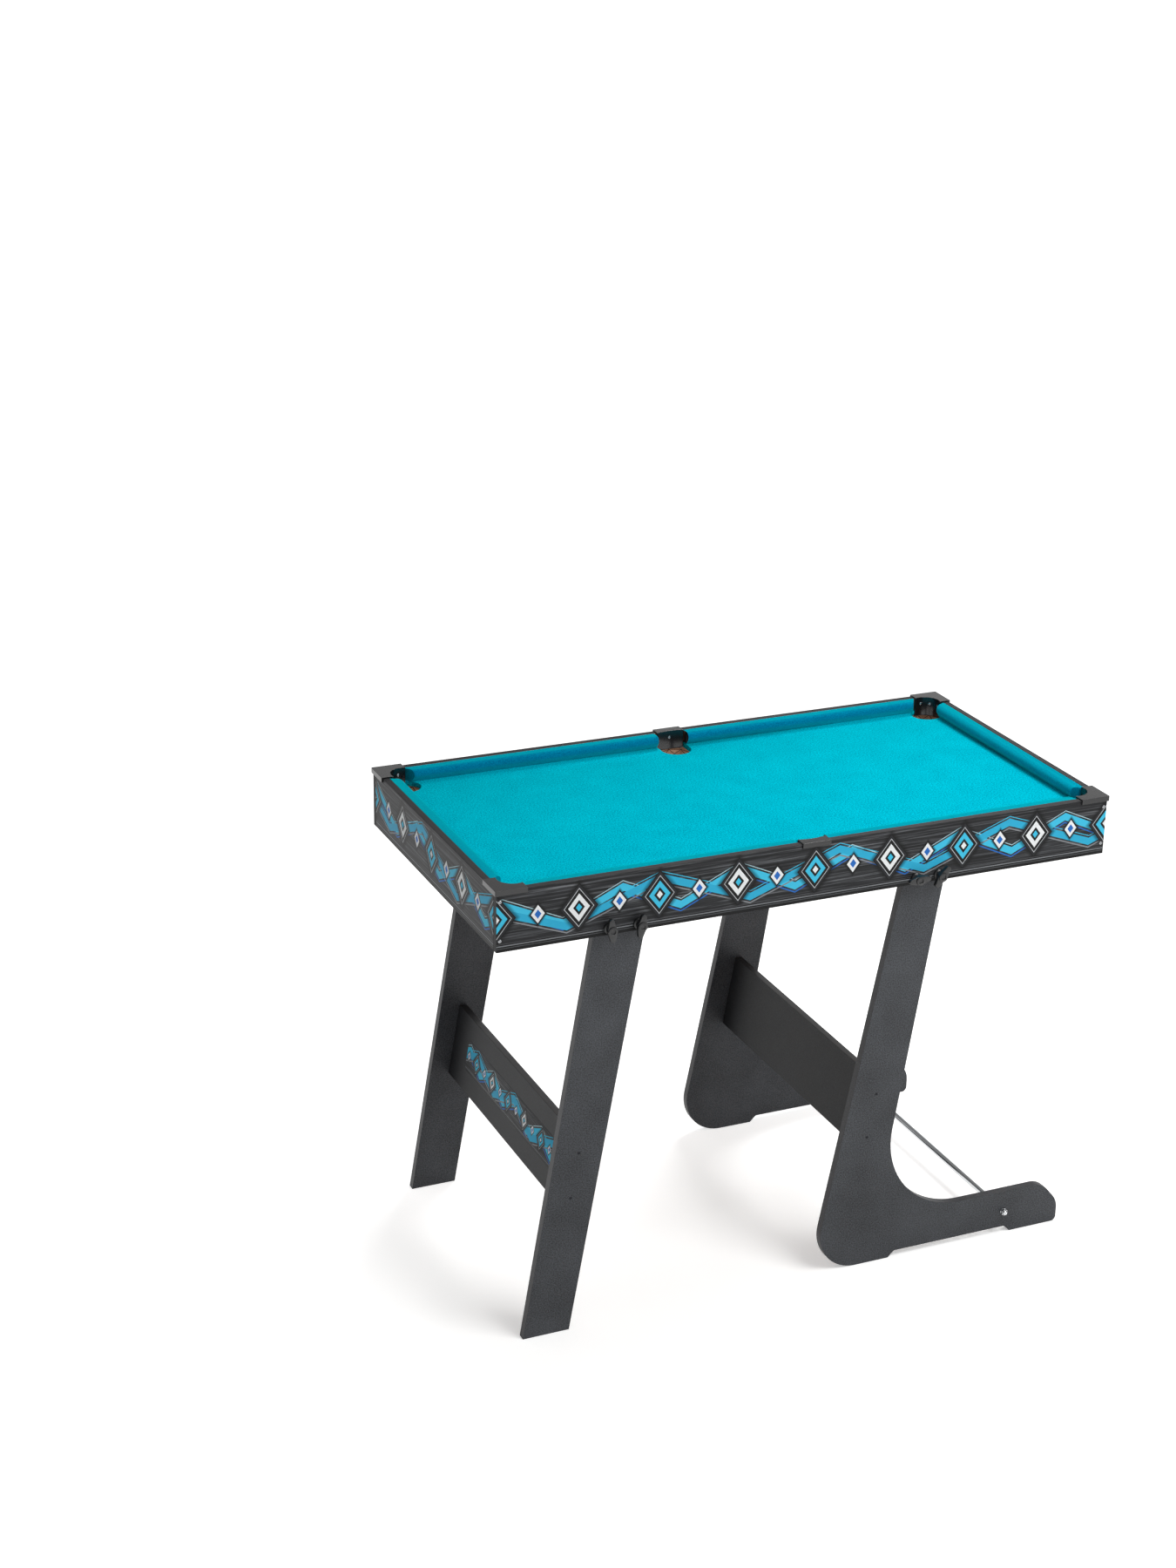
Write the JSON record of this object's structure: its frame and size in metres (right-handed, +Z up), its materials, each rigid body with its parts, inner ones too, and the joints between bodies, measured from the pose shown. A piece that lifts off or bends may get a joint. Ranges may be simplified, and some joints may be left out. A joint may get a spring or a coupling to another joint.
{
  "type": "folding pool table",
  "caption": "Folding pool table with felted bed, padded rails and netted pockets; the top tips upright on an L-foot stand while a second leg frame folds against its underside.",
  "frame": {"origin": "on the floor under the middle of the table", "axes": "+X along the table towards the L-foot stand's toes, +Y across the table, +Z up"},
  "size_m": [1.15, 0.6306, 0.846],
  "materials": {
    "printed_board": "satin printed foil on fibreboard",
    "leg_board": "charcoal grained foil on fibreboard",
    "raw_board": "raw fibreboard",
    "felt": "napped felt",
    "black_plastic": "fine moulded grain",
    "chrome": "bright plated",
    "net_cord": "knotted cord"
  },
  "bodies": {
    "stand": {"foot_rod": "chrome", "rod_nut_back": "chrome", "rod_nut_front": "chrome", "stand_leg_back": "leg_board", "stand_leg_front": "leg_board", "stand_pivot_bolt_back": "chrome", "stand_pivot_bolt_front": "chrome", "stand_stretcher": "leg_board"},
    "table": {"apron_back": "printed_board", "apron_front": "printed_board", "apron_left": "printed_board", "apron_right": "printed_board", "bed_batten_back": "raw_board", "bed_batten_front": "raw_board", "bed_board": "raw_board", "bed_cloth": "felt", "corner_block_back_left": "raw_board", "corner_block_back_right": "raw_board", "corner_block_front_left": "raw_board", "corner_block_front_right": "raw_board", "corner_cap_back_left": "black_plastic", "corner_cap_back_right": "black_plastic", "corner_cap_front_left": "black_plastic", "corner_cap_front_right": "black_plastic", "cushion_back_left": "felt", "cushion_back_right": "felt", "cushion_front_left": "felt", "cushion_front_right": "felt", "cushion_left": "felt", "cushion_right": "felt", "net_back": "net_cord", "net_back_left": "net_cord", "net_back_right": "net_cord", "net_front": "net_cord", "net_front_left": "net_cord", "net_front_right": "net_cord", "side_cap_back": "black_plastic", "side_cap_front": "black_plastic"},
    "end_legs": {"end_leg_back": "leg_board", "end_leg_front": "leg_board", "end_pivot_bolt_back": "chrome", "end_pivot_bolt_front": "chrome", "end_stretcher": "leg_board"},
    "end_lock_back": {"end_lock_bolt_back": "chrome", "end_lock_knob_back": "black_plastic"},
    "end_lock_front": {"end_lock_bolt_front": "chrome", "end_lock_knob_front": "black_plastic"},
    "end_pivot_knob_back": {"end_pivot_knob_back": "black_plastic"},
    "end_pivot_knob_front": {"end_pivot_knob_front": "black_plastic"},
    "stand_lock_back": {"stand_lock_bolt_back": "chrome", "stand_lock_knob_back": "black_plastic"},
    "stand_lock_front": {"stand_lock_bolt_front": "chrome", "stand_lock_knob_front": "black_plastic"},
    "stand_pivot_knob_back": {"stand_pivot_knob_back": "black_plastic"},
    "stand_pivot_knob_front": {"stand_pivot_knob_front": "black_plastic"}
  },
  "joints": [
    {"name": "top_fold", "type": "hinge", "parent": "stand", "child": "table", "pos_m": [0.239, 0, 0.7505], "axis": [0, 1, 0], "range_deg": [0, 90]},
    {"name": "end_legs_fold", "type": "hinge", "parent": "table", "child": "end_legs", "pos_m": [-0.323, 0, 0.7505], "axis": [0, -1, 0], "range_deg": [0, 90]},
    {"name": "stand_pivot_knob_front_turn", "type": "hinge", "parent": "stand", "child": "stand_pivot_knob_front", "pos_m": [0.239, -0.2963, 0.7505], "axis": [0, -1, 0], "continuous": true},
    {"name": "end_pivot_knob_front_turn", "type": "hinge", "parent": "end_legs", "child": "end_pivot_knob_front", "pos_m": [-0.323, -0.2963, 0.7505], "axis": [0, -1, 0], "continuous": true},
    {"name": "stand_lock_front_pull", "type": "slide", "parent": "table", "child": "stand_lock_front", "axis": [0, -1, 0], "range_m": [0, 0.045]},
    {"name": "end_lock_front_pull", "type": "slide", "parent": "table", "child": "end_lock_front", "axis": [0, -1, 0], "range_m": [0, 0.045]},
    {"name": "stand_pivot_knob_back_turn", "type": "hinge", "parent": "stand", "child": "stand_pivot_knob_back", "pos_m": [0.239, 0.2963, 0.7505], "axis": [0, 1, 0], "continuous": true},
    {"name": "end_pivot_knob_back_turn", "type": "hinge", "parent": "end_legs", "child": "end_pivot_knob_back", "pos_m": [-0.323, 0.2963, 0.7505], "axis": [0, 1, 0], "continuous": true},
    {"name": "stand_lock_back_pull", "type": "slide", "parent": "table", "child": "stand_lock_back", "axis": [0, 1, 0], "range_m": [0, 0.045]},
    {"name": "end_lock_back_pull", "type": "slide", "parent": "table", "child": "end_lock_back", "axis": [0, 1, 0], "range_m": [0, 0.045]}
  ],
  "couplings": [
    {"joint": "end_legs_fold", "follows": "top_fold", "ratio": 1}
  ]
}
